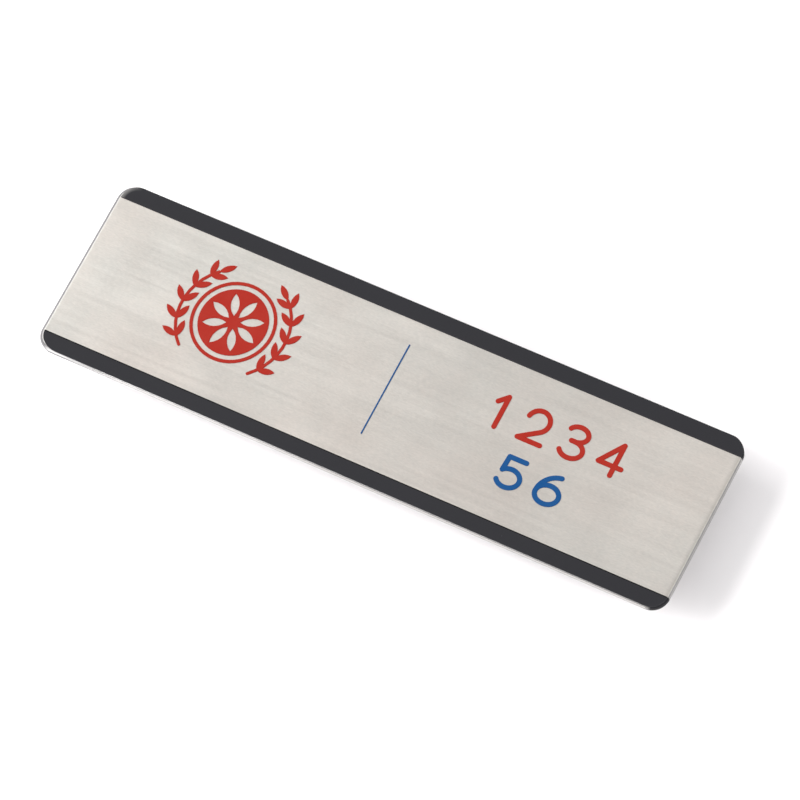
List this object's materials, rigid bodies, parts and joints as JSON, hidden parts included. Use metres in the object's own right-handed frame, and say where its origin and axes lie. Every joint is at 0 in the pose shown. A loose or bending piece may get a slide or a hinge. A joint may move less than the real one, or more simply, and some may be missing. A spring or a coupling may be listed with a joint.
{
  "type": "name badge",
  "caption": "Slim metal name badge with a brushed face between two black bands, printed emblem, divider and numerals, and a magnet clasp behind.",
  "frame": {"origin": "middle of the back of the magnet clasp, which the badge rests on", "axes": "+X along the badge in the direction that its print reads, +Y up its face, +Z out of its face"},
  "size_m": [0.075, 0.021, 0.0056],
  "materials": {
    "rim_aluminium": "polished edge",
    "brushed_face": "fine brush lines along the length",
    "black_band": "matt",
    "red_ink": "printed, satin",
    "blue_ink": "printed, satin",
    "clasp_nickel": "nickel plated"
  },
  "bodies": {
    "root": {"magnet_clasp": "clasp_nickel", "base_plate": "rim_aluminium", "face_plate": "brushed_face", "top_band": "black_band", "bottom_band": "black_band", "emblem_ring": "red_ink", "emblem_disc": "red_ink", "emblem_sprig_left": "red_ink", "emblem_sprig_right": "red_ink", "divider_line": "blue_ink", "numeral_1": "red_ink", "numeral_2": "red_ink", "numeral_3": "red_ink", "numeral_4": "red_ink", "numeral_5": "blue_ink", "numeral_6": "blue_ink"}
  },
  "joints": []
}
